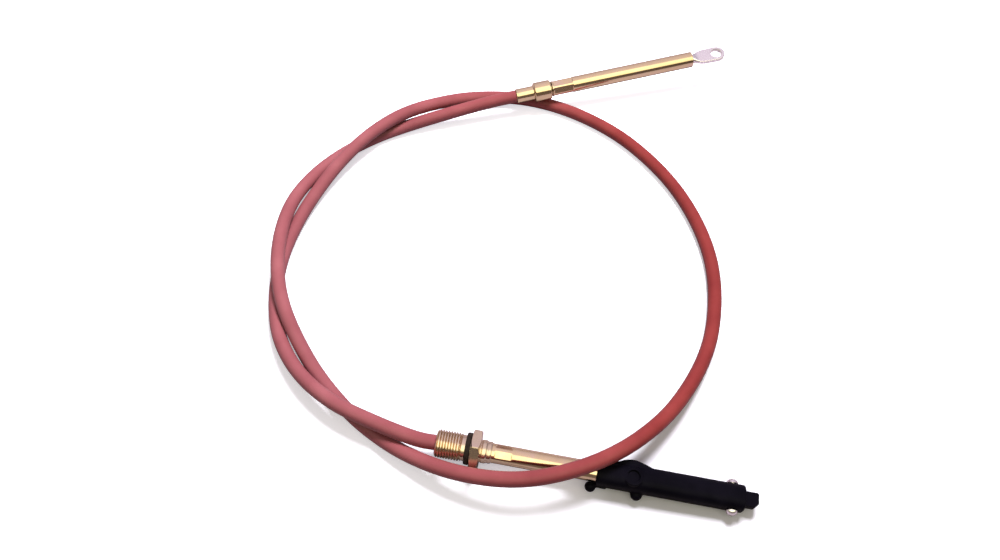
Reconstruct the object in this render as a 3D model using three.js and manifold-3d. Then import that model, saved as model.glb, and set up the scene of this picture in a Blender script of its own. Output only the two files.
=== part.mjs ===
// A red jacketed push-pull shift cable, laid down in one and a half loose turns.
// One end has a plated tube on a swivel, with a flat eyelet on a sliding rod. The other end has a threaded
// bulkhead gland with a hexagon and a seal ring, then a plated tube that carries a black moulded guide.
// Millimetres, +Z up. The origin is under the middle of the two end fittings, on the surface they lie on.
import * as THREE from 'three';
import { mergeVertices } from 'three/addons/utils/BufferGeometryUtils.js';
import Module from 'manifold-3d';

const wasm = await Module();
wasm.setup();

// Clearances
const SEAT_GAP = 0.3; // between pieces that touch
const ROD_CLEARANCE = 0.3; // round a sliding rod, on the radius
const GUIDE_CLEARANCE = 0.3; // between the lower tube and the guide, on the radius

// Jacket
const JACKET_DIAMETER = 7.94; // five sixteenths of an inch
const JACKET_SIDES = 10;
const JACKET_STEPS = 80;
// The line of the jacket's middle, from the upper ferrule round to the gland.
const JACKET_ROUTE = [
  [-46.79, 116.24, 14.18], [-63.5, 112.6, 12.9], [-118.4, 98.7, 5.2], [-140.6, 88.8, 4],
  [-159, 74.9, 4.8], [-173.4, 57.1, 7.2], [-182.8, 36.5, 10.3], [-186.5, 12.4, 12.5],
  [-185, -12.9, 12.8], [-178.5, -37, 11.1], [-160.9, -68.7, 5.9], [-142.9, -90.5, 4.1],
  [-126.5, -105.4, 4.6], [-105.2, -119.7, 8.4], [-77.6, -131.5, 15.4], [-47, -136, 20.6],
  [-16.2, -130.1, 21.8], [11.7, -116, 19], [38, -91.3, 11.8], [60.7, -51.7, 5.2],
  [67.2, -1.9, 4.1], [53.8, 46.1, 4.1], [25, 86.5, 4.1], [-7.2, 110.3, 4.1],
  [-39.8, 122.1, 4.5], [-72.2, 121.8, 6.9], [-98, 114.1, 10], [-120.2, 102.5, 12.5],
  [-139.2, 86.7, 12.6], [-155.7, 67.9, 10.4], [-169.7, 46.3, 7.1], [-180.6, 22.1, 4.8],
  [-186.4, -3.1, 4.1], [-186, -29, 4.5], [-179.6, -53.6, 6.8], [-165.6, -75.7, 10],
  [-145.6, -93, 13], [-122.4, -104.7, 13.7], [-98.9, -113.2, 11.9], [-90.22, -114.75, 11.6],
];

// Tubes and rods, the same stock at both ends
const TUBE_DIAMETER = 10;
const ROD_DIAMETER = 5.5;
const CRIMP_FLAT_DEPTH = 0.4;
const CRIMP_FLATS = 6;
const TUBE_CHAMFER = 0.4;
const TRAVEL = 44.5; // one and three quarter inches, the stroke of the cable
const ROUND_SEGMENTS = 24;
const GLAND_SEGMENTS = 32;
const CORNER_SEGMENTS = 6; // in each round corner of a bar
const ARC_STEPS = 8; // along the outline of a ball or dome

// Upper fitting: lengths run from the jacket's end of the ferrule
const UPPER_PLACE = [-46.5, 116.3, 14.2];
const UPPER_YAW = 12.18; // degrees, round the upright
const UPPER_PITCH = 3.77; // degrees, rising outwards
const SLEEVE_DIAMETER = 9.3;
const SLEEVE_LENGTH = 11.8;
const COLLAR_DIAMETER = 12.4;
const COLLAR_LENGTH = 11.1;
const COLLAR_CHAMFER = 0.6;
const COLLAR_LIP = 1; // the rolled lip that holds the swivel ball
const COLLAR_LIP_BORE = 9.6;
const COLLAR_WALL = 0.7;
const SWIVEL_BALL_DIAMETER = 10.4;
const SWIVEL_ROOT_DIAMETER = 8; // the tube's waist in the lip
const SWIVEL_PLAY = 0.2; // between the ball and the lip
const SWIVEL_BALL_RIM = 0.6; // left round the bore at the ball's inner end
const SWIVEL_GROOVE = 0.8; // open width between the collar and the full tube
const UPPER_TUBE_LENGTH = 94.7; // the part of full diameter
const UPPER_CRIMP_LENGTH = 13;
const UPPER_CRIMP_TURN = 35; // degrees from level to the first flat
const UPPER_ROD_HIDDEN = 78; // how far the rod reaches back into the tube at rest

// Eyelet on the upper rod
const EYELET_HOLE_DIAMETER = 6.8; // clears a quarter inch pin
const EYELET_WIDTH = 11;
const EYELET_THICKNESS = 2.6;
const EYELET_REACH = 16.9; // from the tube's mouth to the middle of the hole
const EYELET_NECK_WIDTH = 5.4;
const EYELET_NECK_FLARE = 1; // how far the neck's curve leans out on each side
const EYELET_SHOULDER_WIDTH = 10.6;
const EYELET_SHOULDER_REACH = 8.5; // from the tube's mouth to the full width
const EYELET_MOUTH_GAP = 0.8; // between the tube's mouth and the blade
const ROD_TAPER = 3.5;

// Lower fitting: lengths run from the jacket's end of the gland
const LOWER_PLACE = [-89.92, -114.8];
const LOWER_YAW = -10.1; // degrees, round the upright
const LOWER_PITCH = -1.78; // degrees, falling until the guide's end is near the surface
const THREAD_DIAMETER = 14.29; // nine sixteenths of an inch
const THREAD_PITCH = 1.411; // eighteen threads to the inch
const THREAD_DEPTH = 0.85;
const THREAD_COUNT = 9;
const THREAD_LEAD_IN = 0.6; // plain chamfered length before the first thread
// Where a ring leaves its crest, reaches the root, leaves the root and is at its crest again, in pitches.
const THREAD_SHAPE = [0.15, 0.5, 0.6, 0.95];
const NECK_DIAMETER = 13; // plain part under the seal ring
const NECK_LENGTH = 4.9;
const HEX_FLATS = 19.05; // three quarters of an inch
const HEX_TURN = 20; // degrees from lying on a flat
const HEX_LENGTH = 4.8;
const HEX_CHAMFER = 0.5;
const HEX_FACE_RIM = 0.1; // flat ring left outside the flats on each face
const BOSS_DIAMETER = 11.9;
const BOSS_LENGTH = 3.4;
const BOSS_LIP_DIAMETER = 11.1;
const BOSS_LIP_LENGTH = 2.6;
const BOSS_GROOVE = 0.5; // between the boss and its rolled lip
const SEAL_WIDTH = 1.5; // across its section, from the neck outwards
const SEAL_THICKNESS = 2.6;
const SEAL_EDGE = 0.5; // bevel on its outer edges
const LOWER_CRIMP_START = 1.5; // from the boss's lip
const LOWER_CRIMP_LENGTH = 9;
const LOWER_CRIMP_TURN = 52; // degrees from level to the first flat
const LOWER_TUBE_BARE = 53.7; // from the boss's lip to the guide at rest
const LOWER_TUBE_LAP = 10; // how much of the tube is in the guide at rest
const LOWER_TUBE_ROOT = 4.6; // how much of the tube is in the gland's socket
const LOWER_ROD_LAP = 22; // how far the rod reaches into the tube at rest

// Black moulded guide: lengths run from its end that faces the gland
const GUIDE_LENGTH = 74.2; // without the tongue
const GUIDE_WIDTH = 13.2;
const GUIDE_CORNER = 5.3;
const GUIDE_BORE_SPARE = 5.5; // bore left beyond the tube when the guide is right back
const TONGUE_LENGTH = 7.4;
const TONGUE_WIDTH = 7.7;
const TONGUE_THICKNESS = 5;
const TONGUE_CORNER = 1;
const EAR_OUTLINE = [
  [4.5, 4.6], [9.7, 6.1], [12.6, 7.4], [15.6, 8.2], [18.6, 8.4], [21.7, 7.7], [24.8, 6.7], [28, 5.6], [33, 4.4],
];
const EAR_THICKNESS = 9.6;
const EAR_TOP = 5.4; // above the bore's axis
const EYE_PLACE = [18.1, -0.6];
const EYE_RIM_DIAMETER = 9.6;
const EYE_RIM_TOP = 6.8; // above the bore's axis
const EYE_DIAMETER = 6.6;
const EYE_DEPTH = 1.2;
const LUG_DIAMETER = 5.8;
const LUG_SIDE = 6.9; // from the bore's axis towards the near side
const LUG_DROP = 3.2; // below the bore's axis
const LUG_PLACES = [-1.9, 21.5];
const LUG_ARM_DIAMETER = 3.4;
const LUG_ARM_REACH = 6;

// Cross pin through the guide and the rod
const PIN_FROM_END = 5.6; // from the guide's end, without the tongue
const PIN_DIAMETER = 3;
const PIN_HEAD_DIAMETER = 5.9;
const PIN_HEAD_HEIGHT = 2.3;
const ROD_PAST_PIN = 3.2;

const UP = new THREE.Vector3(0, 0, 1);
const QUARTER_TURN = Math.PI / 2;
const WELD = 1e-4;

// Geometry helpers

// A closed body from a three.js geometry, with its faces turned outwards.
function solid(geometry) {
  const bare = geometry.clone();
  bare.deleteAttribute('normal');
  bare.deleteAttribute('uv');
  const merged = mergeVertices(bare, WELD);
  const points = merged.attributes.position.array;
  const corners = merged.index.array;
  const triangles = [];
  let volume = 0;
  for (let i = 0; i < corners.length; i += 3) {
    const [a, b, c] = corners.slice(i, i + 3);
    if (a === b || b === c || c === a) continue;
    triangles.push(a, b, c);
    const [p, q, r] = [a, b, c].map((k) => new THREE.Vector3().fromArray(points, 3 * k));
    volume += p.dot(q.cross(r));
  }
  if (volume < 0) triangles.reverse();
  const vertProperties = Float32Array.from(points);
  const triVerts = Uint32Array.from(triangles);
  return new wasm.Manifold(new wasm.Mesh({ numProp: 3, vertProperties, triVerts }));
}

function geometryOf(body) {
  const mesh = body.getMesh();
  const geometry = new THREE.BufferGeometry();
  geometry.setAttribute('position', new THREE.BufferAttribute(Float32Array.from(mesh.vertProperties), 3));
  geometry.setIndex([...mesh.triVerts]);
  geometry.computeVertexNormals();
  return geometry;
}

// A turned body round the X axis. Each entry of the profile is [place along X, radius].
function turned(profile, segments = ROUND_SEGMENTS) {
  const points = profile.map(([x, radius]) => new THREE.Vector2(radius, x));
  return solid(new THREE.LatheGeometry(points, segments).rotateZ(-QUARTER_TURN));
}

function rod(start, end, diameter) {
  return turned([[start, 0], [start, diameter / 2], [end, diameter / 2], [end, 0]]);
}

function ball(x, y, z, diameter) {
  const sphere = new THREE.SphereGeometry(diameter / 2, ROUND_SEGMENTS, ROUND_SEGMENTS / 2);
  return solid(sphere.translate(x, y, z));
}

// A bar along X whose section is a rectangle with round corners.
function roundedBar(start, end, width, height, corner) {
  const [w, h] = [width / 2 - corner, height / 2 - corner];
  const section = new THREE.Shape();
  section.absarc(h, w, corner, 0, QUARTER_TURN);
  section.absarc(-h, w, corner, QUARTER_TURN, 2 * QUARTER_TURN);
  section.absarc(-h, -w, corner, 2 * QUARTER_TURN, 3 * QUARTER_TURN);
  section.absarc(h, -w, corner, 3 * QUARTER_TURN, 4 * QUARTER_TURN);
  const options = { depth: end - start, bevelEnabled: false, curveSegments: CORNER_SEGMENTS };
  return solid(new THREE.ExtrudeGeometry(section, options).rotateY(QUARTER_TURN).translate(start, 0, 0));
}

// A plate that lies flat: its outline is seen from above.
function plate(outline, bottom, top, curveSegments = 12) {
  const options = { depth: top - bottom, bevelEnabled: false, curveSegments };
  return solid(new THREE.ExtrudeGeometry(outline, options).translate(0, 0, bottom));
}

function upright(x, y, bottom, top, diameter) {
  const post = new THREE.CylinderGeometry(diameter / 2, diameter / 2, top - bottom, ROUND_SEGMENTS);
  return solid(post.rotateX(QUARTER_TURN).translate(x, y, (top + bottom) / 2));
}

// The boxes that press flats into a tube, to be cut from it.
function crimpCuts(start, length, turn) {
  const reach = TUBE_DIAMETER / 2 - CRIMP_FLAT_DEPTH;
  const cuts = [];
  for (let i = 0; i < CRIMP_FLATS; i += 1) {
    const box = new THREE.BoxGeometry(length, TUBE_DIAMETER, TUBE_DIAMETER);
    box.translate(start + length / 2, 0, reach + TUBE_DIAMETER / 2);
    box.rotateX(THREE.MathUtils.degToRad(turn - 90 + (i * 360) / CRIMP_FLATS));
    cuts.push(solid(box));
  }
  return cuts;
}

function cutAll(body, cuts) {
  return cuts.reduce((left, cut) => left.subtract(cut), body);
}

// Places that several pieces share, in each fitting's own frame

const collarEnd = SLEEVE_LENGTH + COLLAR_LENGTH;
const socketEnd = collarEnd - COLLAR_LIP;
const socketDiameter = COLLAR_DIAMETER - 2 * COLLAR_WALL;
const swivelReach = Math.sqrt(SWIVEL_BALL_DIAMETER ** 2 - SWIVEL_ROOT_DIAMETER ** 2) / 2;
const swivelCentre = socketEnd - swivelReach - SWIVEL_PLAY;
const upperTubeStart = collarEnd + SWIVEL_GROOVE;
const upperTubeEnd = upperTubeStart + UPPER_TUBE_LENGTH;
const tubeBore = ROD_DIAMETER + 2 * ROD_CLEARANCE;

const threadEnd = THREAD_LEAD_IN + THREAD_COUNT * THREAD_PITCH;
const hexStart = threadEnd + NECK_LENGTH;
const hexEnd = hexStart + HEX_LENGTH;
const bossEnd = hexEnd + BOSS_LENGTH;
const lipEnd = bossEnd + BOSS_LIP_LENGTH;
const lowerTubeStart = lipEnd - LOWER_TUBE_ROOT;
const guideStart = lipEnd + LOWER_TUBE_BARE;
const lowerTubeEnd = guideStart + LOWER_TUBE_LAP;
const guideBoreEnd = guideStart + LOWER_TUBE_LAP + TRAVEL + GUIDE_BORE_SPARE;
const guideEnd = guideStart + GUIDE_LENGTH;
const pinX = guideEnd - PIN_FROM_END;
const lowerPitch = THREE.MathUtils.degToRad(LOWER_PITCH);
const hexCorner = HEX_FLATS / (2 * Math.cos(Math.PI / 6));
const hexTurn = Math.PI / 6 - THREE.MathUtils.degToRad(HEX_TURN);
// The hexagon lies on its lowest corner.
const hexReach = hexCorner * Math.cos(hexTurn);
const lowerHeight = hexReach * Math.cos(lowerPitch) - hexEnd * Math.sin(lowerPitch);

// Materials

function material(color, roughness, metalness) {
  return new THREE.MeshStandardMaterial({ color, roughness, metalness });
}

const redJacket = material(0xa54f50, 0.42, 0);
const yellowPlate = material(0xc9a45a, 0.28, 0.9);
const brightSteel = material(0xc8c6c4, 0.25, 0.95);
const blackPlastic = material(0x15141a, 0.4, 0);
const blackRubber = material(0x2a2420, 0.7, 0);

function piece(name, body, finish) {
  const mesh = new THREE.Mesh(body.isBufferGeometry ? body : geometryOf(body), finish);
  mesh.name = name;
  return mesh;
}

// Jacket

function jacket() {
  const curve = new THREE.CatmullRomCurve3(JACKET_ROUTE.map((p) => new THREE.Vector3(...p)));
  const section = new THREE.Shape();
  for (let i = 0; i < JACKET_SIDES; i += 1) {
    const turn = (i * 2 * Math.PI) / JACKET_SIDES;
    const x = (JACKET_DIAMETER / 2) * Math.cos(turn);
    const y = (JACKET_DIAMETER / 2) * Math.sin(turn);
    if (i === 0) section.moveTo(x, y);
    else section.lineTo(x, y);
  }
  const options = { steps: JACKET_STEPS, extrudePath: curve, bevelEnabled: false };
  return piece('jacket', solid(new THREE.ExtrudeGeometry(section, options)), redJacket);
}

// Upper fitting

function upperFerrule() {
  const [sleeve, collar] = [SLEEVE_DIAMETER / 2, COLLAR_DIAMETER / 2];
  const socketStart = swivelCentre - socketDiameter / 2;
  const body = turned([
    [0, 0], [0, sleeve],
    [SLEEVE_LENGTH - COLLAR_CHAMFER / 2, sleeve],
    [SLEEVE_LENGTH + COLLAR_CHAMFER, collar],
    [collarEnd - COLLAR_CHAMFER, collar],
    [collarEnd, collar - COLLAR_CHAMFER],
    [collarEnd, COLLAR_LIP_BORE / 2], [socketEnd, COLLAR_LIP_BORE / 2],
    [socketEnd, socketDiameter / 2], [socketStart, socketDiameter / 2], [socketStart, 0],
  ]);
  return piece('upper_ferrule', body, yellowPlate);
}

function upperTube() {
  const [ballRadius, waist, outer, bore] = [SWIVEL_BALL_DIAMETER, SWIVEL_ROOT_DIAMETER, TUBE_DIAMETER,
    tubeBore].map((d) => d / 2);
  // The ball's outline runs from its bore round to the waist.
  const first = Math.PI - Math.asin((bore + SWIVEL_BALL_RIM) / ballRadius);
  const last = Math.asin(waist / ballRadius);
  const outline = [];
  for (let i = 0; i <= ARC_STEPS; i += 1) {
    const turn = first + ((last - first) * i) / ARC_STEPS;
    outline.push([swivelCentre + ballRadius * Math.cos(turn), ballRadius * Math.sin(turn)]);
  }
  const left = outline[0][0];
  const body = turned([
    [left, bore], ...outline,
    [upperTubeStart, waist], [upperTubeStart, outer - TUBE_CHAMFER],
    [upperTubeStart + TUBE_CHAMFER, outer], [upperTubeEnd - TUBE_CHAMFER, outer],
    [upperTubeEnd, outer - TUBE_CHAMFER], [upperTubeEnd, bore], [left, bore],
  ]);
  const cuts = crimpCuts(upperTubeStart + TUBE_CHAMFER, UPPER_CRIMP_LENGTH, UPPER_CRIMP_TURN);
  return piece('upper_tube', cutAll(body, cuts), yellowPlate);
}

function eyeletOutline() {
  const start = upperTubeEnd + EYELET_MOUTH_GAP;
  const shoulder = upperTubeEnd + EYELET_SHOULDER_REACH;
  const centre = upperTubeEnd + EYELET_REACH;
  const [neck, full, ring] = [EYELET_NECK_WIDTH, EYELET_SHOULDER_WIDTH, EYELET_WIDTH].map((w) => w / 2);
  const flared = neck + EYELET_NECK_FLARE;
  const outline = new THREE.Shape();
  outline.moveTo(start, -neck);
  outline.bezierCurveTo(start + ROD_TAPER, -flared, shoulder - ROD_TAPER, -full, shoulder, -full);
  outline.lineTo(centre, -ring);
  outline.absarc(centre, 0, ring, -QUARTER_TURN, QUARTER_TURN);
  outline.lineTo(shoulder, full);
  outline.bezierCurveTo(shoulder - ROD_TAPER, full, start + ROD_TAPER, flared, start, neck);
  outline.closePath();
  const hole = new THREE.Path().absarc(centre, 0, EYELET_HOLE_DIAMETER / 2, 0, 2 * Math.PI, true);
  outline.holes.push(hole);
  return outline;
}

function upperRod() {
  const blade = plate(eyeletOutline(), -EYELET_THICKNESS / 2, EYELET_THICKNESS / 2);
  const shaft = turned([
    [upperTubeEnd - UPPER_ROD_HIDDEN, 0], [upperTubeEnd - UPPER_ROD_HIDDEN, ROD_DIAMETER / 2],
    [upperTubeEnd, ROD_DIAMETER / 2], [upperTubeEnd + ROD_TAPER, EYELET_THICKNESS / 2],
    [upperTubeEnd + ROD_TAPER, 0],
  ]);
  return piece('upper_eyelet_rod', blade.add(shaft), brightSteel);
}

// Lower fitting

function threadProfile() {
  const crest = THREAD_DIAMETER / 2;
  const root = crest - THREAD_DEPTH;
  const profile = [[0, root], [THREAD_LEAD_IN, crest]];
  for (let i = 0; i < THREAD_COUNT; i += 1) {
    const [a, b, c, d] = THREAD_SHAPE.map((share) => THREAD_LEAD_IN + (i + share) * THREAD_PITCH);
    profile.push([a, crest], [b, root], [c, root], [d, crest]);
  }
  return profile;
}

function gland() {
  const [neck, boss, lip] = [NECK_DIAMETER, BOSS_DIAMETER, BOSS_LIP_DIAMETER].map((d) => d / 2);
  const barrel = turned([
    [0, 0], ...threadProfile(), [threadEnd, neck], [hexStart + HEX_LENGTH / 2, neck],
    [hexStart + HEX_LENGTH / 2, boss], [bossEnd, boss], [bossEnd + BOSS_GROOVE, lip - BOSS_GROOVE / 2],
    [bossEnd + 2 * BOSS_GROOVE, lip], [lipEnd - BOSS_GROOVE / 2, lip], [lipEnd, lip - BOSS_GROOVE / 2],
    [lipEnd, 0],
  ], GLAND_SEGMENTS);
  const face = HEX_FLATS / 2 + HEX_FACE_RIM;
  const prism = new THREE.CylinderGeometry(hexCorner, hexCorner, HEX_LENGTH, 6).rotateY(hexTurn);
  const hexagon = solid(prism.rotateZ(-QUARTER_TURN).translate(hexStart + HEX_LENGTH / 2, 0, 0));
  const rounding = turned([
    [hexStart, 0], [hexStart, face], [hexStart + HEX_CHAMFER, hexCorner],
    [hexEnd - HEX_CHAMFER, hexCorner], [hexEnd, face], [hexEnd, 0],
  ], GLAND_SEGMENTS);
  const socket = rod(lowerTubeStart - SEAT_GAP, lipEnd + 1, TUBE_DIAMETER + 2 * SEAT_GAP);
  return piece('gland', barrel.add(hexagon.intersect(rounding)).subtract(socket), yellowPlate);
}

function sealRing() {
  const inner = NECK_DIAMETER / 2 + SEAT_GAP;
  const outer = inner + SEAL_WIDTH;
  const end = hexStart - SEAT_GAP;
  const start = end - SEAL_THICKNESS;
  const body = turned([
    [start, inner], [start, outer - SEAL_EDGE], [start + SEAL_EDGE, outer], [end - SEAL_EDGE, outer],
    [end, outer - SEAL_EDGE], [end, inner], [start, inner],
  ], GLAND_SEGMENTS);
  return piece('seal_ring', body, blackRubber);
}

function lowerTube() {
  const [outer, bore] = [TUBE_DIAMETER / 2, tubeBore / 2];
  const body = turned([
    [lowerTubeStart, bore], [lowerTubeStart, outer], [lowerTubeEnd - TUBE_CHAMFER, outer],
    [lowerTubeEnd, outer - TUBE_CHAMFER], [lowerTubeEnd, bore], [lowerTubeStart, bore],
  ]);
  const cuts = crimpCuts(lipEnd + LOWER_CRIMP_START, LOWER_CRIMP_LENGTH, LOWER_CRIMP_TURN);
  return piece('lower_tube', cutAll(body, cuts), yellowPlate);
}

function crossHole(diameter, reach) {
  return rod(-reach, reach, diameter).rotate([0, 0, 90]).translate([pinX, 0, 0]);
}

function lowerRod() {
  const shaft = rod(lowerTubeEnd - LOWER_ROD_LAP, pinX + ROD_PAST_PIN, ROD_DIAMETER);
  const hole = crossHole(PIN_DIAMETER + 2 * SEAT_GAP, ROD_DIAMETER);
  return piece('lower_rod', shaft.subtract(hole), brightSteel);
}

function guideEar() {
  const outline = new THREE.Shape();
  outline.moveTo(EAR_OUTLINE[0][0], 0);
  outline.lineTo(...EAR_OUTLINE[0]);
  outline.splineThru(EAR_OUTLINE.slice(1).map(([x, y]) => new THREE.Vector2(x, y)));
  outline.lineTo(EAR_OUTLINE[EAR_OUTLINE.length - 1][0], 0);
  outline.closePath();
  return plate(outline, EAR_TOP - EAR_THICKNESS, EAR_TOP, 4).translate([guideStart, 0, 0]);
}

function guideLugs() {
  const lugs = LUG_PLACES.map((x) => ball(guideStart + x, -LUG_SIDE, -LUG_DROP, LUG_DIAMETER));
  const arm = rod(LUG_PLACES[0], LUG_ARM_REACH, LUG_ARM_DIAMETER);
  return [...lugs, arm.translate([guideStart, LUG_ARM_DIAMETER / 2 - LUG_SIDE, -LUG_DROP])];
}

function guide() {
  const body = roundedBar(guideStart, guideEnd, GUIDE_WIDTH, GUIDE_WIDTH, GUIDE_CORNER);
  const tongueStart = guideEnd - TONGUE_CORNER;
  const tongueEnd = guideEnd + TONGUE_LENGTH;
  const tongue = roundedBar(tongueStart, tongueEnd, TONGUE_WIDTH, TONGUE_THICKNESS, TONGUE_CORNER);
  const [eyeX, eyeY] = [guideStart + EYE_PLACE[0], EYE_PLACE[1]];
  const rim = upright(eyeX, eyeY, 0, EYE_RIM_TOP, EYE_RIM_DIAMETER);
  const eye = upright(eyeX, eyeY, EYE_RIM_TOP - EYE_DEPTH, EYE_RIM_TOP + 1, EYE_DIAMETER);
  const joined = [tongue, guideEar(), rim, ...guideLugs()].reduce((sum, part) => sum.add(part), body);
  const bore = TUBE_DIAMETER + 2 * GUIDE_CLEARANCE;
  const cuts = [
    eye,
    rod(guideStart + LUG_PLACES[0] - LUG_DIAMETER, guideBoreEnd, bore),
    rod(guideBoreEnd - 1, pinX + ROD_PAST_PIN + SEAT_GAP, tubeBore),
    crossHole(PIN_DIAMETER + 2 * SEAT_GAP, GUIDE_WIDTH),
  ];
  return piece('guide', cutAll(joined, cuts), blackPlastic);
}

function crossPin() {
  const [shank, head] = [PIN_DIAMETER / 2, PIN_HEAD_DIAMETER / 2];
  const seat = GUIDE_WIDTH / 2 + SEAT_GAP;
  const dome = [];
  for (let i = 0; i < ARC_STEPS; i += 1) {
    const turn = (i * QUARTER_TURN) / ARC_STEPS;
    dome.push([seat + PIN_HEAD_HEIGHT * Math.sin(turn), head * Math.cos(turn)]);
  }
  dome.push([seat + PIN_HEAD_HEIGHT, 0]);
  const farSide = [[seat, shank], ...dome];
  const nearSide = farSide.map(([x, r]) => [-x, r]).reverse();
  const body = turned([...nearSide, ...farSide]).rotate([0, 0, 90]).translate([pinX, 0, 0]);
  return piece('cross_pin', body, brightSteel);
}

// The whole cable

function fitting(place, yaw, pitch, meshes) {
  const group = new THREE.Group();
  group.add(...meshes);
  group.position.set(...place);
  group.quaternion.setFromAxisAngle(UP, THREE.MathUtils.degToRad(yaw));
  group.rotateY(-THREE.MathUtils.degToRad(pitch));
  return group;
}

const group = new THREE.Group();
group.add(
  jacket(),
  fitting(UPPER_PLACE, UPPER_YAW, UPPER_PITCH, [upperFerrule(), upperTube(), upperRod()]),
  fitting([...LOWER_PLACE, lowerHeight], LOWER_YAW, LOWER_PITCH, [
    gland(), sealRing(), lowerTube(), lowerRod(), guide(), crossPin(),
  ]),
);

export default group;
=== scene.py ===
import math

import bmesh
import bpy
from mathutils import Matrix, Vector


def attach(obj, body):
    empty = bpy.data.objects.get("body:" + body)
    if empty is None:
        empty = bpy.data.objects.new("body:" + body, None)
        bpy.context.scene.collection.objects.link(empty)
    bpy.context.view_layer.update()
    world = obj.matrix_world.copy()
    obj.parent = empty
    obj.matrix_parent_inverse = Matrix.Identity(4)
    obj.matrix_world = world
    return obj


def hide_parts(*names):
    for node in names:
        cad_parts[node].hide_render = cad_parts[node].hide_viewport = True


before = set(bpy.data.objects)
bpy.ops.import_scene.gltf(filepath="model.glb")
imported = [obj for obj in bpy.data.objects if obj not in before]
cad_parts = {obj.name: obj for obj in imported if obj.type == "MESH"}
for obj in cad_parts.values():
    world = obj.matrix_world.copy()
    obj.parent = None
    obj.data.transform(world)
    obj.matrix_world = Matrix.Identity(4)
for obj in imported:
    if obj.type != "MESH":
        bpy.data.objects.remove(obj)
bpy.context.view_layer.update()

MM = 0.001

# Sizes that the solids share, in millimetres
JACKET_DIAMETER = 7.94
TUBE = 5.0  # radius of both tubes
BORE = 3.05  # radius inside both tubes
ROD = 2.75  # radius of both rods

# The line of the jacket's middle, from the upper ferrule round to the gland
ROUTE = [
    (-46.79, 116.24, 14.18), (-63.5, 112.6, 12.9), (-118.4, 98.7, 5.2), (-140.6, 88.8, 4),
    (-159, 74.9, 4.8), (-173.4, 57.1, 7.2), (-182.8, 36.5, 10.3), (-186.5, 12.4, 12.5),
    (-185, -12.9, 12.8), (-178.5, -37, 11.1), (-160.9, -68.7, 5.9), (-142.9, -90.5, 4.1),
    (-126.5, -105.4, 4.6), (-105.2, -119.7, 8.4), (-77.6, -131.5, 15.4), (-47, -136, 20.6),
    (-16.2, -130.1, 21.8), (11.7, -116, 19), (38, -91.3, 11.8), (60.7, -51.7, 5.2),
    (67.2, -1.9, 4.1), (53.8, 46.1, 4.1), (25, 86.5, 4.1), (-7.2, 110.3, 4.1),
    (-39.8, 122.1, 4.5), (-72.2, 121.8, 6.9), (-98, 114.1, 10), (-120.2, 102.5, 12.5),
    (-139.2, 86.7, 12.6), (-155.7, 67.9, 10.4), (-169.7, 46.3, 7.1), (-180.6, 22.1, 4.8),
    (-186.4, -3.1, 4.1), (-186, -29, 4.5), (-179.6, -53.6, 6.8), (-165.6, -75.7, 10),
    (-145.6, -93, 13), (-122.4, -104.7, 13.7), (-98.9, -113.2, 11.9), (-90.22, -114.75, 11.6),
]

# Upper fitting, from the jacket's end of the ferrule
UPPER_PLACE = (-46.5, 116.3, 14.2)
UPPER_YAW, UPPER_PITCH = 12.18, 3.77
SLEEVE_END = 11.8
COLLAR_END = 22.9
SWIVEL = 18.377  # centre of the ball
SWIVEL_BALL = 5.2  # radius
UPPER_TUBE_START = 23.7
UPPER_TUBE_END = 118.4
EYELET = UPPER_TUBE_END + 16.9  # centre of its hole
EYELET_RADIUS = 5.5
EYELET_HOLE = 3.4  # radius
BLADE_HALF = 1.3  # half of its thickness

# Lower fitting, from the jacket's end of the gland
THREAD_PITCH = 1.411
THREAD_CREST = 7.145  # radius
THREAD_DEPTH = 0.85
THREAD_END = 0.6 + 9 * THREAD_PITCH
HEX_START = THREAD_END + 4.9
HEX_END = HEX_START + 4.8
LIP_END = HEX_END + 6.0
HEX_FLATS = 19.05
LOWER_YAW, LOWER_PITCH = -10.1, -1.78
HEX_CORNER = HEX_FLATS / math.sqrt(3)
HEX_TURN = 40  # degrees from the far side up to the first corner
LOWER_HEIGHT = (HEX_CORNER * math.cos(math.radians(10)) * math.cos(math.radians(LOWER_PITCH))
                - HEX_END * math.sin(math.radians(LOWER_PITCH)))
LOWER_PLACE = (-89.92, -114.8, LOWER_HEIGHT)
GUIDE = LIP_END + 53.7
LOWER_TUBE_END = GUIDE + 10
GUIDE_LENGTH = 74.2
GUIDE_END = GUIDE + GUIDE_LENGTH
GUIDE_WIDTH = 13.2
PIN_FROM_END = 5.6
PIN = GUIDE_END - PIN_FROM_END


def fitting_matrix(place, yaw, pitch):
    """From a fitting's own frame, in millimetres and with X along it, to the shared frame."""
    turn = (Matrix.Rotation(math.radians(yaw), 4, "Z")
            @ Matrix.Rotation(-math.radians(pitch), 4, "Y"))
    return Matrix.Translation(Vector(place) * MM) @ turn @ Matrix.Scale(MM, 4)


UPPER = fitting_matrix(UPPER_PLACE, UPPER_YAW, UPPER_PITCH)
LOWER = fitting_matrix(LOWER_PLACE, LOWER_YAW, LOWER_PITCH)


# Camera

def make_camera():
    camera = bpy.data.objects.new("Camera", bpy.data.cameras.new("Camera"))
    camera.data.lens = 28.0
    camera.data.sensor_width = 36
    camera.data.clip_start = 0.01
    camera.location = (-0.05724, -0.23514, 0.40057)
    camera.rotation_euler = (math.radians(29), 0, 0)
    bpy.context.collection.objects.link(camera)
    bpy.context.scene.camera = camera


# Material helpers

def new_material(name, color, roughness, metallic=0.0):
    material = bpy.data.materials.new(name)
    material.use_nodes = True
    shader = material.node_tree.nodes["Principled BSDF"]
    shader.inputs["Base Color"].default_value = (*color, 1)
    shader.inputs["Roughness"].default_value = roughness
    shader.inputs["Metallic"].default_value = metallic
    return material, material.node_tree, shader


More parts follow.
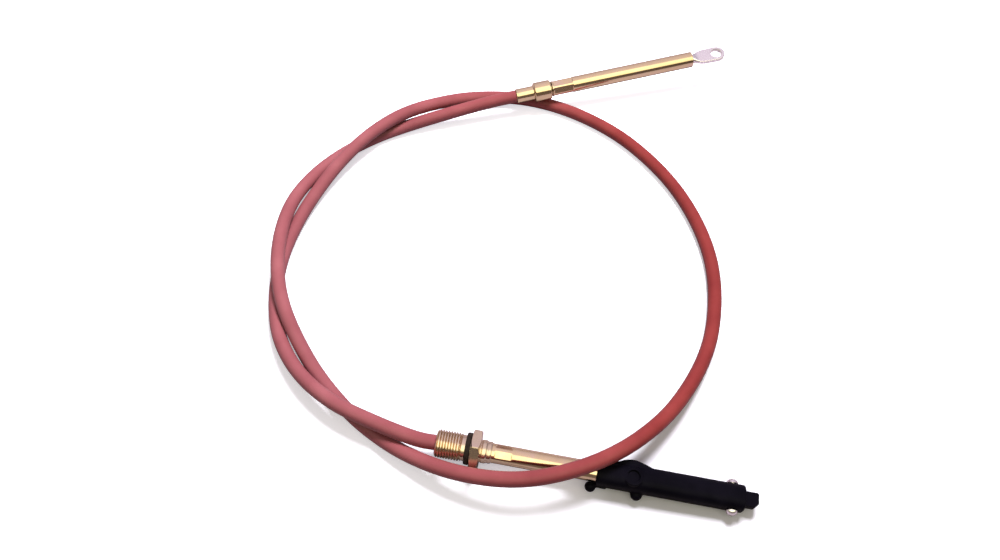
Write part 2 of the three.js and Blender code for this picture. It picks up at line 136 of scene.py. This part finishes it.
def object_coordinates(tree, scale=(1, 1, 1)):
    coordinates = tree.nodes.new("ShaderNodeTexCoord")
    mapping = tree.nodes.new("ShaderNodeMapping")
    mapping.inputs["Scale"].default_value = scale
    tree.links.new(coordinates.outputs["Object"], mapping.inputs["Vector"])
    return mapping.outputs["Vector"]


def noise(tree, vector, scale, detail=3.0, roughness=0.5):
    node = tree.nodes.new("ShaderNodeTexNoise")
    node.inputs["Scale"].default_value = scale
    node.inputs["Detail"].default_value = detail
    node.inputs["Roughness"].default_value = roughness
    tree.links.new(vector, node.inputs["Vector"])
    return node.outputs["Fac"]


def ramp(tree, value, stops):
    node = tree.nodes.new("ShaderNodeValToRGB")
    elements = node.color_ramp.elements
    while len(elements) < len(stops):
        elements.new(0.5)
    for element, (position, color) in zip(elements, stops):
        element.position = position
        element.color = (*color, 1)
    tree.links.new(value, node.inputs["Fac"])
    return node.outputs["Color"]


def grey_ramp(tree, value, low, high):
    """As ramp, with two stops of (position, grey)."""
    return ramp(tree, value, [(position, (level,) * 3) for position, level in (low, high)])


def calculated(tree, operation, first, second):
    """A maths node. Each input is a socket or a number."""
    node = tree.nodes.new("ShaderNodeMath")
    node.operation = operation
    for slot, value in zip(node.inputs, (first, second)):
        if isinstance(value, (int, float)):
            slot.default_value = value
        else:
            tree.links.new(value, slot)
    return node.outputs["Value"]


def map_range(tree, value, limits):
    node = tree.nodes.new("ShaderNodeMapRange")
    for name, limit in limits.items():
        node.inputs[name].default_value = limit
    tree.links.new(value, node.inputs["Value"])
    return node.outputs["Result"]


def mix(tree, factor, first, second):
    """Mixes two colours. Each is a socket or (red, green, blue)."""
    node = tree.nodes.new("ShaderNodeMix")
    node.data_type = "RGBA"
    tree.links.new(factor, node.inputs["Factor"])
    for name, value in (("A", first), ("B", second)):
        if isinstance(value, tuple):
            node.inputs[name].default_value = (*value, 1)
        else:
            tree.links.new(value, node.inputs[name])
    return node.outputs["Result"]


def scaled(tree, vector, factor):
    node = tree.nodes.new("ShaderNodeVectorMath")
    node.operation = "SCALE"
    tree.links.new(vector, node.inputs["Vector"])
    tree.links.new(factor, node.inputs["Scale"])
    return node.outputs["Vector"]


def separated(tree, vector):
    node = tree.nodes.new("ShaderNodeSeparateXYZ")
    tree.links.new(vector, node.inputs["Vector"])
    return node.outputs


def bump(tree, shader, height, distance, strength):
    node = tree.nodes.new("ShaderNodeBump")
    node.inputs["Strength"].default_value = strength
    node.inputs["Distance"].default_value = distance
    tree.links.new(height, node.inputs["Height"])
    tree.links.new(node.outputs["Normal"], shader.inputs["Normal"])


def jacket_material():
    """Red plastic with a fine mottle. Its left part is painted paler and pinker than its right part:
    painted glare that stands in for stronger light on the left.
    """
    material, tree, shader = new_material("JacketRed", (0.2, 0.03, 0.03), 0.4)
    vector = object_coordinates(tree)
    mottle = noise(tree, vector, 55, 4)
    plain_red = ramp(tree, mottle, [
        (0.30, (0.165, 0.020, 0.021)), (0.55, (0.198, 0.027, 0.027)), (0.80, (0.236, 0.037, 0.036)),
    ])
    # Painted light: the paler, pinker red of the left part stands in for stronger light there, not a
    # change in the plastic.
    painted_glare_red = ramp(tree, mottle, [
        (0.30, (0.250, 0.070, 0.086)), (0.55, (0.285, 0.085, 0.103)), (0.80, (0.325, 0.105, 0.124)),
    ])
    # The painted glare grows towards the left.
    painted_glare_mask = map_range(tree, separated(tree, vector)["X"], {"From Min": 0.02, "From Max": -0.15})
    tree.links.new(mix(tree, painted_glare_mask, plain_red, painted_glare_red), shader.inputs["Base Color"])
    scuff = noise(tree, vector, 420, 5, 0.65)
    tree.links.new(grey_ramp(tree, scuff, (0.35, 0.40), (0.75, 0.52)), shader.inputs["Roughness"])
    bump(tree, shader, noise(tree, vector, 900, 4), 0.00004, 0.35)
    shader.inputs["Specular IOR Level"].default_value = 0.32
    return material


def plating_material(name, tints, roughness):
    """Passivated zinc: yellow with a pinkish cast that drifts, and fine marks along the metal."""
    material, tree, shader = new_material(name, tints[1], roughness, 1.0)
    vector = object_coordinates(tree)
    cloud = noise(tree, vector, 130, 5, 0.6)
    tree.links.new(ramp(tree, cloud, list(zip((0.25, 0.5, 0.75), tints))),
                   shader.inputs["Base Color"])
    streak = noise(tree, object_coordinates(tree, (0.15, 1, 1)), 1500, 3)
    tree.links.new(grey_ramp(tree, streak, (0.3, roughness - 0.04), (0.8, roughness + 0.05)),
                   shader.inputs["Roughness"])
    bump(tree, shader, noise(tree, vector, 700, 4), 0.00002, 0.3)
    return material


TUBE_TINTS = ((0.74, 0.56, 0.36), (0.80, 0.63, 0.39), (0.81, 0.60, 0.47))
GLAND_TINTS = ((0.66, 0.52, 0.37), (0.74, 0.60, 0.44), (0.74, 0.58, 0.48))


def bright_material():
    material, tree, shader = new_material("BrightSteel", (0.80, 0.77, 0.77), 0.24, 1.0)
    vector = object_coordinates(tree)
    tree.links.new(ramp(tree, noise(tree, vector, 300, 4), [
        (0.3, (0.91, 0.87, 0.88)), (0.7, (0.95, 0.92, 0.93)),
    ]), shader.inputs["Base Color"])
    tree.links.new(grey_ramp(tree, noise(tree, vector, 1200, 4), (0.3, 0.20), (0.7, 0.30)),
                   shader.inputs["Roughness"])
    bump(tree, shader, noise(tree, vector, 900, 3), 0.00002, 0.2)
    return material


def guide_material():
    material, tree, shader = new_material("BlackMoulding", (0.010, 0.010, 0.013), 0.42)
    vector = object_coordinates(tree)
    tree.links.new(ramp(tree, noise(tree, vector, 90, 4), [
        (0.3, (0.0014, 0.0012, 0.0028)), (0.7, (0.0036, 0.0030, 0.0062)),
    ]), shader.inputs["Base Color"])
    tree.links.new(grey_ramp(tree, noise(tree, vector, 600, 5), (0.3, 0.34), (0.75, 0.52)),
                   shader.inputs["Roughness"])
    bump(tree, shader, noise(tree, vector, 2200, 4), 0.00003, 0.4)
    shader.inputs["Specular IOR Level"].default_value = 0.04
    return material


def rubber_material():
    material, tree, shader = new_material("SealRubber", (0.030, 0.022, 0.018), 0.65)
    vector = object_coordinates(tree)
    tree.links.new(ramp(tree, noise(tree, vector, 400, 4), [
        (0.3, (0.010, 0.007, 0.006)), (0.7, (0.024, 0.017, 0.014)),
    ]), shader.inputs["Base Color"])
    shader.inputs["Specular IOR Level"].default_value = 0.2
    bump(tree, shader, noise(tree, vector, 2500, 4), 0.00005, 0.5)
    return material


# Mesh helpers: each returns (vertices, faces) in the fitting's own frame, in millimetres

def merge(*parts):
    verts, faces = [], []
    for part_verts, part_faces in parts:
        offset = len(verts)
        verts += part_verts
        faces += [[offset + i for i in face] for face in part_faces]
    return verts, faces


def softened(profile):
    """Rounds the corners of a profile. Each entry is (x, radius) or (x, radius, corner rounding)."""
    steps = 3
    out = []
    for i, entry in enumerate(profile):
        here = Vector(entry[:2])
        if len(entry) < 3 or i in (0, len(profile) - 1):
            out.append(here)
            continue
        before = Vector(profile[i - 1][:2]) - here
        after = Vector(profile[i + 1][:2]) - here
        size = min(entry[2], before.length * 0.49, after.length * 0.49)
        start, end = here + before.normalized() * size, here + after.normalized() * size
        for k in range(steps + 1):
            t = k / steps
            out.append(start * (1 - t) ** 2 + here * (2 * t * (1 - t)) + end * t ** 2)
    return out


def grid(rings, closed_ends=True):
    """Joins rings of equal length, in order, with quads, and fills the two ends."""
    count = len(rings[0])
    verts = [tuple(v) for ring in rings for v in ring]
    faces = []
    for i in range(len(rings) - 1):
        for j in range(count):
            k = (j + 1) % count
            near, far = i * count, (i + 1) * count
            faces.append([near + j, near + k, far + k, far + j])
    if closed_ends:
        faces.append(list(reversed(range(count))))
        faces.append([(len(rings) - 1) * count + j for j in range(count)])
    return verts, faces


def turned(profile, segments=96, radius_at=None, closed_ends=True):
    rings = []
    for x, radius in (tuple(p)[:2] for p in profile):
        ring = []
        for j in range(segments):
            turn = 2 * math.pi * j / segments
            r = radius_at(x, turn, radius) if radius_at else radius
            ring.append((x, r * math.cos(turn), r * math.sin(turn)))
        rings.append(ring)
    return grid(rings, closed_ends)


def tube_with_bore(outside, bore, segments=96, radius_at=None):
    """A tube whose outside follows a profile, with a plain bore right through it."""
    start, end = outside[0][0], outside[-1][0]
    rings = [(start, bore)] + [tuple(p) for p in outside] + [(end, bore)]

    def rule(x, turn, radius):
        return radius if radius <= bore or not radius_at else radius_at(x, turn, radius)

    verts, faces = turned(rings, segments, rule, closed_ends=False)
    last = (len(rings) - 1) * segments
    for j in range(segments):
        k = (j + 1) % segments
        faces.append([last + j, last + k, k, j])
    return verts, faces


def crimped(start, end, across, turn_degrees):
    """A radius rule for a tube that is pressed to a hexagon between two places."""
    lean = math.radians(turn_degrees)

    def rule(x, turn, radius):
        inside = min(x - start, end - x)
        if inside <= -0.01:
            return radius
        weight = min(1.0, max(0.0, inside / 0.7))
        weight = weight * weight * (3 - 2 * weight)
        side = (turn - lean + math.pi / 6) % (math.pi / 3) - math.pi / 6
        flat = across / 2 / math.cos(side)
        return radius - weight * max(0.0, radius - flat)

    return rule


def stretch(start, end, step):
    count = max(1, round((end - start) / step))
    return [start + (end - start) * i / count for i in range(count + 1)]


def shifted(part, offset):
    verts, faces = part
    return [tuple(Vector(v) + Vector(offset)) for v in verts], faces


def dressed(name, part, matrix, material, body, nodes, smooth=32):
    """Makes a piece of the object, with its place in its mesh."""
    verts, faces = part
    mesh = bpy.data.meshes.new(name)
    mesh.from_pydata([matrix @ Vector(v) for v in verts], [], faces)
    piece = bpy.data.objects.new(name, mesh)
    bpy.context.collection.objects.link(piece)
    finish_mesh(mesh, smooth)
    mesh.materials.append(material)
    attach(piece, body)
    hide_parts(*nodes)


def finish_mesh(mesh, smooth):
    edit = bmesh.new()
    edit.from_mesh(mesh)
    bmesh.ops.remove_doubles(edit, verts=edit.verts, dist=1e-7)
    bmesh.ops.recalc_face_normals(edit, faces=edit.faces)
    edit.to_mesh(mesh)
    edit.free()
    mesh.polygons.foreach_set("use_smooth", [True] * len(mesh.polygons))
    mesh.set_sharp_from_angle(angle=math.radians(smooth))


def scratch(name, part):
    """A working object in millimetres, for booleans and remeshing."""
    mesh = bpy.data.meshes.new(name)
    mesh.from_pydata([tuple(v) for v in part[0]], [], part[1])
    edit = bmesh.new()
    edit.from_mesh(mesh)
    bmesh.ops.recalc_face_normals(edit, faces=edit.faces)
    edit.to_mesh(mesh)
    edit.free()
    work = bpy.data.objects.new(name, mesh)
    bpy.context.collection.objects.link(work)
    return work


def applied(work):
    """The vertices and faces of a working object with its modifiers applied. The object is removed."""
    graph = bpy.context.evaluated_depsgraph_get()
    shape = work.evaluated_get(graph).to_mesh()
    part = [tuple(v.co) for v in shape.vertices], [list(p.vertices) for p in shape.polygons]
    work.evaluated_get(graph).to_mesh_clear()
    mesh = work.data
    bpy.data.objects.remove(work)
    bpy.data.meshes.remove(mesh)
    return part


def cut(part, *tools):
    """Cuts closed tools from a closed part."""
    work = scratch("Work", part)
    helpers = [scratch("Tool", tool) for tool in tools]
    for helper in helpers:
        modifier = work.modifiers.new("Cut", "BOOLEAN")
        modifier.operation = "DIFFERENCE"
        modifier.solver = "EXACT"
        modifier.object = helper
    result = applied(work)
    for helper in helpers:
        bpy.data.objects.remove(helper)
    return result


def welded(part, voxel):
    """Runs overlapping closed shapes together into one moulding with small fillets."""
    work = scratch("Work", part)
    remesh = work.modifiers.new("Remesh", "REMESH")
    remesh.mode = "VOXEL"
    remesh.voxel_size = voxel
    smooth = work.modifiers.new("Smooth", "SMOOTH")
    smooth.factor = 0.5
    smooth.iterations = 4
    return applied(work)


# Jacket

def catmull_rom(points, per_span):
    """Centripetal Catmull-Rom through the points, as in the solids."""
    points = [Vector(p) for p in points]
    line = [2 * points[0] - points[1], *points, 2 * points[-1] - points[-2]]
    out = []
    for i in range(len(points) - 1):
        p0, p1, p2, p3 = line[i:i + 4]
        d0, d1, d2 = (math.sqrt((b - a).length) for a, b in ((p0, p1), (p1, p2), (p2, p3)))
        m1 = ((p1 - p0) / d0 - (p2 - p0) / (d0 + d1) + (p2 - p1) / d1) * d1
        m2 = ((p2 - p1) / d1 - (p3 - p1) / (d1 + d2) + (p3 - p2) / d2) * d1
        for k in range(per_span):
            t = k / per_span
            out.append((2 * t**3 - 3 * t**2 + 1) * p1 + (t**3 - 2 * t**2 + t) * m1
                       + (-2 * t**3 + 3 * t**2) * p2 + (t**3 - t**2) * m2)
    return out + [points[-1]]


def make_jacket(material):
    line = catmull_rom(ROUTE, 12)
    curve = bpy.data.curves.new("Jacket", "CURVE")
    curve.dimensions = "3D"
    curve.bevel_depth = JACKET_DIAMETER / 2 * MM
    curve.bevel_resolution = 7
    curve.use_fill_caps = True
    spline = curve.splines.new("POLY")
    spline.points.add(len(line) - 1)
    for point, place in zip(spline.points, line):
        point.co = (*(place * MM), 1)
    spline.use_smooth = True
    piece = bpy.data.objects.new("Jacket", curve)
    bpy.context.collection.objects.link(piece)
    curve.materials.append(material)
    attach(piece, "casing")
    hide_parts("jacket")


# Upper fitting

def make_upper_ferrule(material):
    outside = softened([
        (1.2, 4.05), (0, 4.05), (0, 4.65, 0.25), (0.9, 4.65, 0.1), (1.0, 4.55, 0.1), (11.2, 4.55, 0.1),
        (11.4, 4.7, 0.1), (11.6, 5.3, 0.15), (12.2, 6.15, 0.3), (12.9, 6.2, 0.2),
        (21.6, 6.2, 0.3), (22.0, 6.2, 0.15), (22.5, 6.1, 0.3), (COLLAR_END, 5.6, 0.3),
        (COLLAR_END, 4.8, 0.1), (21.9, 4.8, 0.1), (21.9, 5.5), (12.9, 5.5),
    ])
    dressed("UpperFerrule", turned(outside), UPPER, material, "casing",
            ["upper_ferrule"])


def make_upper_tube(material):
    ball = [(SWIVEL + SWIVEL_BALL * math.cos(t), SWIVEL_BALL * math.sin(t))
            for t in (math.radians(a) for a in range(136, 48, -8))]
    neck = [(22.0, 4.0), (23.3, 4.0), (23.5, 4.4), (UPPER_TUBE_START, 4.8), (23.87, 4.97),
            (24.0, TUBE)]
    body = [(x, TUBE) for x in stretch(24.1, 38.6, 0.24)]
    far = softened([(38.6, TUBE), (UPPER_TUBE_END - 0.2, TUBE, 0.25), (UPPER_TUBE_END, TUBE - 0.4, 0.2),
                    (UPPER_TUBE_END, BORE)])[1:]
    mouth = [(UPPER_TUBE_END, BORE + 0.25), (UPPER_TUBE_END - 0.3, BORE)]
    outside = ball + neck + body + [tuple(p) for p in far[:-1]] + mouth
    part = tube_with_bore(outside, BORE, radius_at=crimped(24.2, 37.8, 9.16, 35))
    dressed("UpperTube", part, UPPER, material, "swivel_tube", ["upper_tube"])


def eyelet_half_width(x):
    """Half the blade's width at a place along it."""
    start, full = UPPER_TUBE_END + 0.6, UPPER_TUBE_END + 9.2
    shoulder = 5.3
    if x >= EYELET:
        return EYELET_RADIUS * math.sqrt(max(0.0, 1 - ((x - EYELET) / EYELET_RADIUS) ** 2))
    if x >= full:
        return shoulder + (EYELET_RADIUS - shoulder) * (x - full) / (EYELET - full)
    if x <= start:
        return ROD
    t = (x - start) / (full - start)
    return ROD + (shoulder - ROD) * math.sin(t * math.pi / 2) ** 1.1


def eyelet_half_thickness(x):
    """Half the blade's thickness, which falls from the rod's round end to the flat."""
    start, flat = UPPER_TUBE_END - 0.3, UPPER_TUBE_END + 5.0
    t = min(1.0, max(0.0, (x - start) / (flat - start)))
    return ROD + (BLADE_HALF - ROD) * t * t * (3 - 2 * t)


def rounded_ring(x, half_width, half_height, corner):
    """A ring of points round the X axis: a rectangle with round corners."""
    ring = []
    segments = 8
    for quarter, (sy, sz) in enumerate(((1, 1), (-1, 1), (-1, -1), (1, -1))):
        for k in range(segments + 1):
            turn = math.pi / 2 * (quarter + k / segments)
            ring.append((x, sy * (half_width - corner) + corner * math.cos(turn),
                         sz * (half_height - corner) + corner * math.sin(turn)))
    return ring


def make_upper_rod(material):
    places = [UPPER_TUBE_END - 60, UPPER_TUBE_END - 1]
    places += stretch(UPPER_TUBE_END, EYELET, 0.45)
    places += [EYELET + EYELET_RADIUS * math.sin(math.radians(a)) for a in range(5, 90, 5)]
    places += [EYELET + EYELET_RADIUS - 0.005]
    rings = []
    for x in places:
        width, thick = max(eyelet_half_width(x), 0.15), eyelet_half_thickness(x)
        flatness = min(1.0, max(0.0, (x - UPPER_TUBE_END) / 5))
        corner = ROD * (1 - flatness) + 0.45 * flatness
        thick -= 0.35 * (1 - min(1.0, width / 1.2))
        rings.append(rounded_ring(x, width, thick, min(corner, width - 0.01, thick - 0.01)))
    blade = grid(rings)
    half_hole = [(0.9, EYELET_HOLE), (1.25, 3.65), (1.9, 4.3), (3, 4.3)]
    verts, faces = turned([(-x, r) for x, r in reversed(half_hole)] + half_hole, 64)
    tool = [(EYELET + y, z, x) for x, y, z in verts], faces
    dressed("UpperEyeletRod", cut(blade, tool), UPPER, material, "eyelet_rod",
            ["upper_eyelet_rod"], smooth=38)


# Lower fitting

def thread_radius(x, turn, radius):
    """A right-hand helical thread that fades in at the barrel's end and out at the neck."""
    phase = (x / THREAD_PITCH - turn / (2 * math.pi)) % 1.0
    wave = abs(2 * phase - 1)
    ridge = min(1.0, max(0.0, (wave - 0.06) / 0.48))
    fade = min(1.0, max(0.0, (THREAD_END - x) / 0.9))
    return min(radius, THREAD_CREST - THREAD_DEPTH + THREAD_DEPTH * ridge * fade)


def hex_radius(turn):
    side = turn % (math.pi / 3) - math.pi / 6
    return min(HEX_FLATS / 2 / math.cos(side), HEX_CORNER - 0.1)


def hexagon():
    """The hexagon with both faces chamfered round. It rests on one corner."""
    segments = 144
    low = HEX_FLATS / 2 - 0.15
    rings = [[], [], [], []]
    for j in range(segments):
        turn = 2 * math.pi * j / segments
        radius = hex_radius(turn)
        lean = 0.5 * max(0.0, radius - low)
        inner = min(radius, low)
        angle = turn + math.radians(HEX_TURN)
        for ring, (x, r) in zip(rings, ((HEX_START, inner), (HEX_START + lean, radius),
                                        (HEX_END - lean, radius), (HEX_END, inner))):
            ring.append((x, r * math.cos(angle), r * math.sin(angle)))
    return grid(rings)


def make_gland(material):
    first = 6.35  # the radius at the chamfer, before the thread
    barrel = [(1.0, 4.2), (0.0, 4.2), (0.0, 6.1), (0.15, first)]
    barrel += [(x, first + min(1, (x - 0.1) / 0.75) * (THREAD_CREST - first))
               for x in stretch(0.25, THREAD_END, 0.11)]
    barrel += [(THREAD_END + 0.15, 6.55), (HEX_START - 2.95, 6.6), (HEX_START - 2.85, 6.3),
               (HEX_START + 1, 6.3)]

    def rule(x, turn, radius):
        return thread_radius(x, turn, radius) if 0.2 < x < THREAD_END else radius

    threads = turned(barrel, 120, rule)
    boss = softened([
        (HEX_END - 1, 5.7), (HEX_END + 0.7, 5.7, 0.2), (HEX_END + 1.1, 5.95, 0.3),
        (HEX_END + 2.9, 5.95, 0.6), (HEX_END + 3.4, 5.6, 0.3), (HEX_END + 3.9, 5.45, 0.3),
        (HEX_END + 4.5, 5.65, 0.4),
        (HEX_END + 5.3, 5.6, 0.4), (LIP_END, 5.3, 0.1), (LIP_END, 5.08), (LIP_END - 1, 5.08),
    ])
    dressed("Gland", merge(threads, hexagon(), turned(boss)), LOWER, material, "casing",
            ["gland"])


def make_seal(material):
    start, middle, end = HEX_START - 2.9, HEX_START - 1.6, HEX_START - 0.3
    bore = 6.8
    outside = softened([(start, bore), (start, 7.8, 0.3), (middle - 0.9, 8.15, 0.4),
                        (middle + 0.9, 8.3, 0.4), (end, 8.0, 0.3), (end, bore)])
    part = tube_with_bore(outside, bore, 72)
    dressed("SealRing", part, LOWER, material, "casing", ["seal_ring"])


def make_lower_tube(material):
    start = LIP_END - 4.5
    outside = [(start, TUBE)] + [(x, TUBE) for x in stretch(LIP_END + 1, LIP_END + 11.4, 0.24)]
    outside += [(LOWER_TUBE_END - 0.4, TUBE), (LOWER_TUBE_END, TUBE - 0.4)]
    rule = crimped(LIP_END + 1.4, LIP_END + 10.6, 9.34, 52)
    dressed("LowerTube", tube_with_bore(outside, BORE, radius_at=rule), LOWER, material, "casing",
            ["lower_tube"])


def edge_steps(start, end, edge):
    """Places and insets that round both ends of a span."""
    return ((start, edge), (start + edge * 0.3, edge * 0.3), (start + edge, 0),
            (end - edge, 0), (end - edge * 0.3, edge * 0.3), (end, edge))


def bar(length, width, corner):
    """A square bar along X with round corners and slightly rounded ends."""
    rings = []
    for x, inset in edge_steps(0, length, 0.5):
        half = width / 2 - inset
        rings.append(rounded_ring(x, half, half, corner - inset))
    return grid(rings)


# The ear's outline seen from above, from the guide's near end
EAR = [
    (4.5, 4.6), (9.7, 6.1), (12.6, 7.4), (15.6, 8.2), (18.6, 8.4), (21.7, 7.7), (24.8, 6.7),
    (28, 5.6), (33, 4.4),
]
EYE = (18.1, -0.6)  # the middle of the round recess


def slab(outline, bottom, top, edge):
    """A flat plate with its outline seen from above and its top and bottom edges rounded."""
    centre = Vector((sum(x for x, _ in outline), sum(y for _, y in outline))) / len(outline)
    rings = []
    for z, inset in edge_steps(bottom, top, edge):
        ring = []
        for x, y in outline:
            out = Vector((x, y)) - centre
            out *= max(0.1, 1 - inset / out.length)
            ring.append((centre.x + out.x, centre.y + out.y, z))
        rings.append(ring)
    return grid(rings)


def standing(x, y, profile, segments=48):
    """A turned shape that stands upright at a place on the guide."""
    verts, faces = turned(profile, segments)
    return [(x + v[1], y + v[2], v[0]) for v in verts], faces


def ball(place, radius):
    steps = 12
    turns = [math.pi * i / steps for i in range(steps + 1)]
    profile = [(-radius * math.cos(t), max(0.02, radius * math.sin(t))) for t in turns]
    return shifted(turned(profile, 2 * steps), place)


def tongue():
    """The flat end of the guide, with its near corner cut off and its far one rounded."""
    end = GUIDE_LENGTH + 7.4
    outline = [(GUIDE_LENGTH - 1.5, -3.85), (end - 2, -3.85), (end, -1.85)]
    outline += [(end - 0.9 + 0.9 * math.cos(t), 2.95 + 0.9 * math.sin(t))
                for t in (math.radians(a) for a in range(0, 91, 15))]
    outline += [(GUIDE_LENGTH - 1.5, 3.85)]
    return slab(outline, -2.5, 2.5, 0.35)


def crosswise(part, place):
    """Lays a turned shape across the fitting at a place along it."""
    verts, faces = part
    return [(place + y, x, z) for x, y, z in verts], faces


def make_guide(material):
    ear = [(p.x, p.y) for p in catmull_rom([(x, y, 0) for x, y in EAR], 6)] + [(32, 0), (4, 0)]
    body = merge(
        bar(GUIDE_LENGTH, GUIDE_WIDTH, 5.3),
        tongue(),
        slab(ear, -4.2, 5.4, 0.8),
        standing(*EYE, [(0, 4.8), (6.45, 4.8), (6.8, 4.4)]),
        ball((-1.9, -6.9, -3.2), 2.8),
        ball((21.5, -6.8, -3.2), 3.0),
        shifted(turned([(-1.9, 1.7), (6, 1.7)], 24), (0, -5.2, -3.2)),
    )
    cutters = [
        standing(*EYE, [(5.6, 3.1), (6.0, 3.3), (9, 3.3)]),
        turned([(-7, TUBE + 0.3), (60, TUBE + 0.3)], 64),
        turned([(59, BORE), (GUIDE_LENGTH - 2.1, BORE)], 48),
        crosswise(turned([(-9, 1.8), (9, 1.8)], 32), GUIDE_LENGTH - PIN_FROM_END),
    ]
    part = shifted(cut(welded(body, 0.33), *cutters), (GUIDE, 0, 0))
    dressed("Guide", part, LOWER, material, "guide", ["guide"], smooth=40)


def make_lower_rod(material):
    profile = softened([(LOWER_TUBE_END - 22, 2.3), (LOWER_TUBE_END - 21.6, ROD, 0.3),
                        (PIN + 3.2, ROD, 0.3), (PIN + 3.6, 2.3)])
    dressed("LowerRod", turned(profile, 64), LOWER, material, "guide", ["lower_rod"])


def make_cross_pin(material):
    seat = 6.9
    far = [(seat + 2.3 * math.sin(t), max(0.05, 2.95 * math.cos(t)))
           for t in (math.radians(a) for a in range(0, 91, 10))]
    near = [(-x, r) for x, r in reversed(far)]
    part = turned(near + [(-seat, 1.5), (seat, 1.5)] + far, 64)
    dressed("CrossPin", crosswise(part, PIN), LOWER, material, "guide", ["cross_pin"])


# Stage and light

SKY_STRENGTH = 2.35
# The light of each direction, from level in front (0) over the top (0.5) to level behind (1)
SKY = [
    (0.0, (0.080, 0.062, 0.058)), (0.21, (0.062, 0.048, 0.044)), (0.228, (0.30, 0.26, 0.15)),
    (0.246, (0.90, 0.86, 0.60)), (0.49, (0.86, 0.83, 0.66)), (0.56, (0.42, 0.36, 0.40)),
    (0.80, (0.35, 0.30, 0.35)), (1.0, (0.22, 0.19, 0.23)),
]
SOFT_SHARE = 0.36  # how much of this light falls on matt surfaces
SIDE_DIMMING = 0.8  # how much darker the light is level to the left and right


def make_floor():
    """White to the camera, with a painted glow that only the camera sees: it lightens the floor and
    washes out its shadows towards the far side and the left. Darker to every other ray.
    """
    bpy.ops.mesh.primitive_plane_add(size=6, location=(0, 0, -0.0002))
    floor = bpy.context.object
    floor.name = "Floor"
    material, tree, shader = new_material("FloorWhite", (0.93, 0.93, 0.97), 0.6)
    shader.inputs["Specular IOR Level"].default_value = 0.1
    path = tree.nodes.new("ShaderNodeLightPath")
    to_camera = path.outputs["Is Camera Ray"]
    tree.links.new(mix(tree, to_camera, (0.30, 0.25, 0.30), (0.88, 0.87, 0.99)),
                   shader.inputs["Base Color"])
    place = separated(tree, object_coordinates(tree))
    # Painted light: an emitted glow for camera rays only, growing towards the far side and the left,
    # that washes out the shadows there.
    far = map_range(tree, place["Y"], {"From Min": -0.10, "From Max": 0.10, "To Max": 0.66})
    left = map_range(tree, place["X"], {"From Min": 0.0, "From Max": -0.04, "To Max": 0.42})
    painted_glow = calculated(tree, "MAXIMUM", far, left)
    tree.links.new(calculated(tree, "MULTIPLY", painted_glow, to_camera), shader.inputs["Emission Strength"])
    shader.inputs["Emission Color"].default_value = (0.95, 0.94, 1, 1)
    floor.data.materials.append(material)


def make_world():
    """Soft light by direction: dark low in front, brightest above that, and dimmer behind."""
    world = bpy.data.worlds.new("Studio")
    bpy.context.scene.world = world
    world.use_nodes = True
    tree = world.node_tree
    background = tree.nodes["Background"]
    background.inputs["Strength"].default_value = SKY_STRENGTH
    coordinates = tree.nodes.new("ShaderNodeTexCoord")
    direction = separated(tree, coordinates.outputs["Generated"])
    near = calculated(tree, "MULTIPLY", direction["Y"], -1)
    height = calculated(tree, "ARCTAN2", direction["Z"], near)
    share = calculated(tree, "DIVIDE", height, math.pi)
    sideways = calculated(tree, "MULTIPLY", direction["X"], direction["X"])
    dimming = map_range(tree, sideways, {"To Min": 1, "To Max": 1 - SIDE_DIMMING})
    sky = scaled(tree, ramp(tree, share, SKY), dimming)
    path = tree.nodes.new("ShaderNodeLightPath")
    softened_share = map_range(tree, path.outputs["Is Diffuse Ray"], {"To Min": 1, "To Max": SOFT_SHARE})
    light = scaled(tree, sky, softened_share)
    tree.links.new(mix(tree, path.outputs["Is Camera Ray"], light, (0.5, 0.5, 0.51)),
                   background.inputs["Color"])


def make_key_light():
    """A lamp above the far side. The metals don't reflect it."""
    data = bpy.data.lights.new("Key", "AREA")
    data.shape = "RECTANGLE"
    data.size = data.size_y = 0.26
    data.energy = 12.5
    data.color = (1.0, 0.985, 0.97)
    light = bpy.data.objects.new("Key", data)
    light.location = (0.08, 0.27, 0.78)
    aim = Vector((-0.057, -0.013, 0)) - Vector(light.location)
    light.rotation_euler = aim.to_track_quat("-Z", "Y").to_euler()
    light.visible_glossy = False
    bpy.context.collection.objects.link(light)


bpy.context.scene.view_settings.view_transform = "Standard"
make_camera()
make_world()
make_key_light()
make_floor()
red = jacket_material()
plating = plating_material("YellowPlating", TUBE_TINTS, 0.13)
dull_plating = plating_material("DullPlating", GLAND_TINTS, 0.22)
bright = bright_material()
moulding = guide_material()
rubber = rubber_material()
make_jacket(red)
make_upper_ferrule(plating)
make_upper_tube(plating)
make_upper_rod(bright)
make_gland(dull_plating)
make_seal(rubber)
make_lower_tube(plating)
make_lower_rod(bright)
make_guide(moulding)
make_cross_pin(bright)
